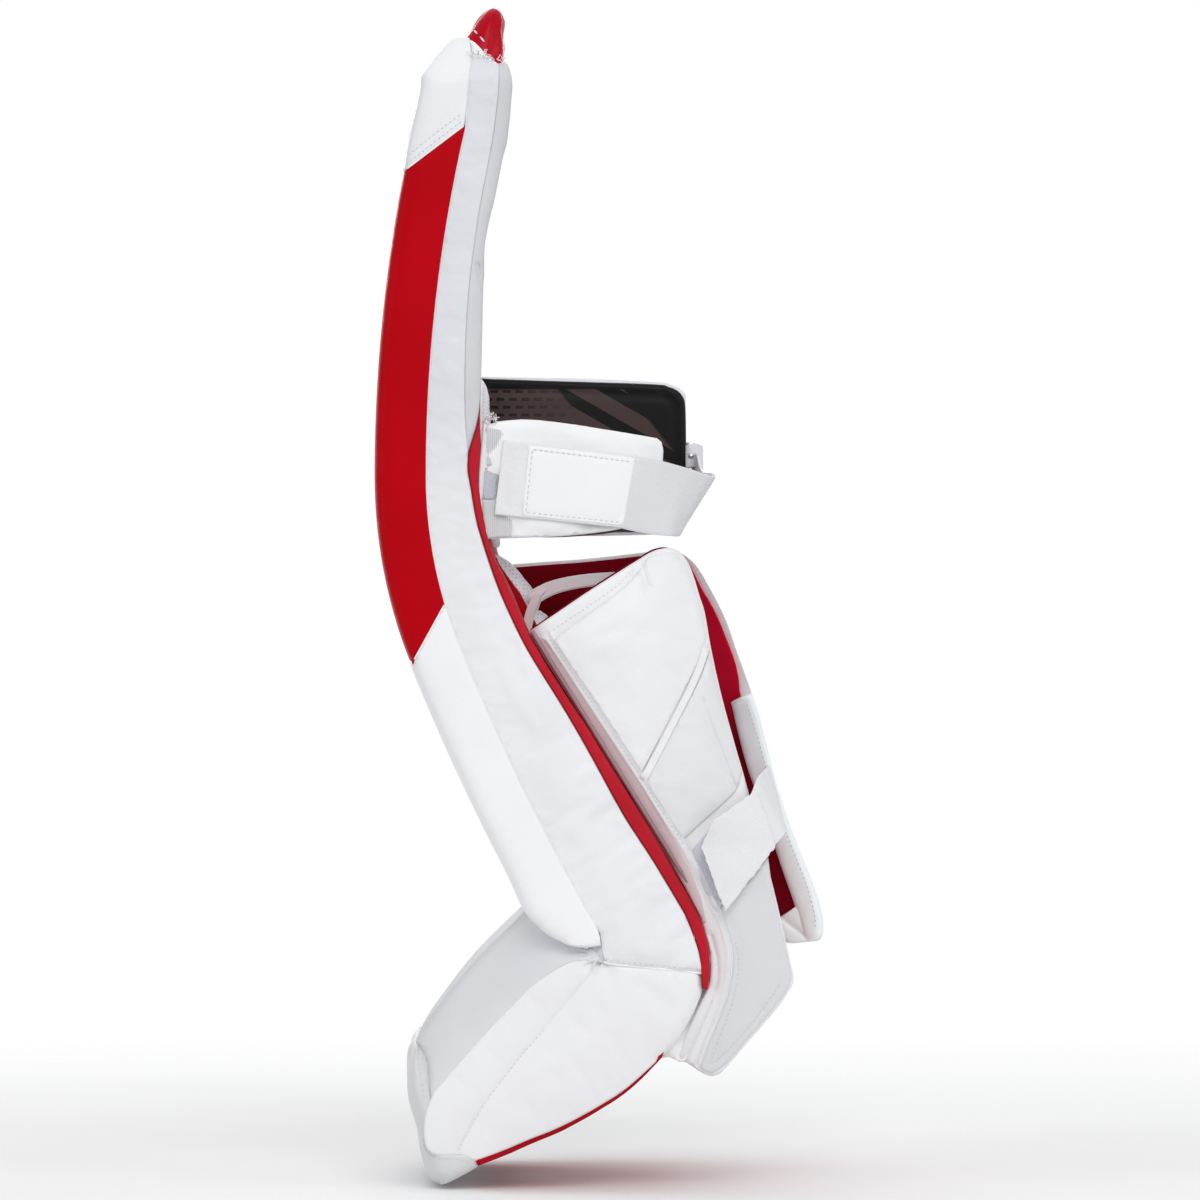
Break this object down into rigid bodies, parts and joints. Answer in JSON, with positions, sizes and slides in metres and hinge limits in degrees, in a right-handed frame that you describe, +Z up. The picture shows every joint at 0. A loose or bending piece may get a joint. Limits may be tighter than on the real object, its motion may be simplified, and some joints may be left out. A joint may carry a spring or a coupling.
{
  "type": "goalkeeper leg pad",
  "caption": "Tall padded ice-hockey goalkeeper's leg pad with a flexing thigh and boot, calf wings that swing open, and knee and calf straps.",
  "frame": {"origin": "in the leg channel, where the calf goes in between the wings, at mid width", "axes": "+Z up the leg, -X out of the pad's face, +Y towards the inner side of the leg"},
  "size_m": [0.3474, 0.2807, 0.9021],
  "materials": {
    "white_leather": "smooth coated synthetic leather",
    "red_leather": "smooth coated synthetic leather",
    "white_nylon": "tight woven nylon",
    "red_nylon": "tight woven nylon",
    "white_mesh": "open spacer mesh",
    "white_webbing": "coated webbing",
    "elastic": "ribbed elastic",
    "loop_pile": "short loop pile",
    "black_liner": "satin grip film",
    "foam": "cut closed-cell foam",
    "board": "sheet polyethylene",
    "steel": "satin"
  },
  "bodies": {
    "shin": {"shin_core": "foam", "shin_board": "board", "knee_stripe": "red_leather", "shin_face": "white_leather", "outer_sidewall": "white_nylon", "inner_sidewall": "white_leather", "back_panel": "red_nylon", "knee_cushion": "white_mesh", "shin_cushion": "white_mesh", "calf_sling": "elastic", "knee_block_liner": "black_liner", "knee_block_foam": "white_nylon", "knee_block_landing": "white_leather", "knee_strap_ring": "steel", "outer_wing_welt": "red_nylon", "inner_wing_welt": "red_nylon", "knee_wrap_welt": "red_nylon"},
    "thigh": {"thigh_core": "foam", "thigh_board": "board", "thigh_face": "white_leather", "thigh_stripe": "red_leather", "thigh_outer_sidewall": "white_nylon", "thigh_inner_sidewall": "white_leather", "thigh_back_panel": "white_nylon", "thigh_top_cap": "red_leather"},
    "boot": {"boot_core": "foam", "boot_face": "white_leather", "boot_outer_gusset": "white_leather", "boot_inner_gusset": "white_leather", "boot_sole_panel": "red_nylon", "toe_cap": "white_leather", "toe_bridge": "white_webbing", "toe_eyelets": "steel"},
    "outer_wing": {"outer_wing_pad": "white_leather", "outer_wing_board": "board", "outer_wing_lining": "red_nylon", "outer_wing_upper_panel": "white_leather", "outer_wing_lower_panel": "white_leather", "outer_wing_loop_patch": "loop_pile"},
    "inner_wing": {"inner_wing_pad": "white_leather", "inner_wing_board": "board", "inner_wing_lining": "red_nylon", "inner_wing_binding": "white_nylon", "calf_strap_anchor": "white_webbing"},
    "calf_strap": {"calf_strap_band": "white_webbing", "calf_strap_tab": "loop_pile"},
    "knee_wrap": {"knee_wrap_pad": "white_nylon", "knee_wrap_lining": "black_liner", "knee_wrap_elastics": "elastic"},
    "knee_strap": {"knee_strap_band": "white_webbing", "knee_strap_tab": "loop_pile"}
  },
  "joints": [
    {"name": "thigh_flex", "type": "hinge", "parent": "shin", "child": "thigh", "pos_m": [-0.16434, 0, 0.19388], "axis": [0, 1, 0], "range_deg": [-5, 7], "stiffness_Nm_per_rad": 45},
    {"name": "boot_flex", "type": "hinge", "parent": "shin", "child": "boot", "pos_m": [0.00172, 0, -0.26976], "axis": [0, 1, 0], "range_deg": [-6, 5], "stiffness_Nm_per_rad": 40},
    {"name": "outer_wing_open", "type": "hinge", "parent": "shin", "child": "outer_wing", "pos_m": [-0.0522, -0.134, -0.02184], "axis": [0.5276, 0, -0.8495], "range_deg": [0, 50]},
    {"name": "inner_wing_open", "type": "hinge", "parent": "shin", "child": "inner_wing", "pos_m": [-0.0522, 0.134, -0.02184], "axis": [-0.5276, 0, 0.8495], "range_deg": [0, 20]},
    {"name": "calf_strap_peel", "type": "hinge", "parent": "inner_wing", "child": "calf_strap", "pos_m": [0.04129, 0.102, 0.03623], "axis": [-0.5276, 0, 0.8495], "range_deg": [0, 110]},
    {"name": "knee_wrap_open", "type": "hinge", "parent": "shin", "child": "knee_wrap", "pos_m": [-0.0813, -0.134, 0.094], "axis": [0, 0, -1], "range_deg": [0, 45]},
    {"name": "knee_strap_open", "type": "hinge", "parent": "shin", "child": "knee_strap", "pos_m": [0.0736, 0.112, 0.094], "axis": [0, 0, 1], "range_deg": [0, 99]}
  ],
  "couplings": [
    {"joint": "calf_strap_peel", "follows": "outer_wing_open", "ratio": 2.2},
    {"joint": "inner_wing_open", "follows": "outer_wing_open", "ratio": 0.4},
    {"joint": "knee_strap_open", "follows": "knee_wrap_open", "ratio": 2.2}
  ]
}
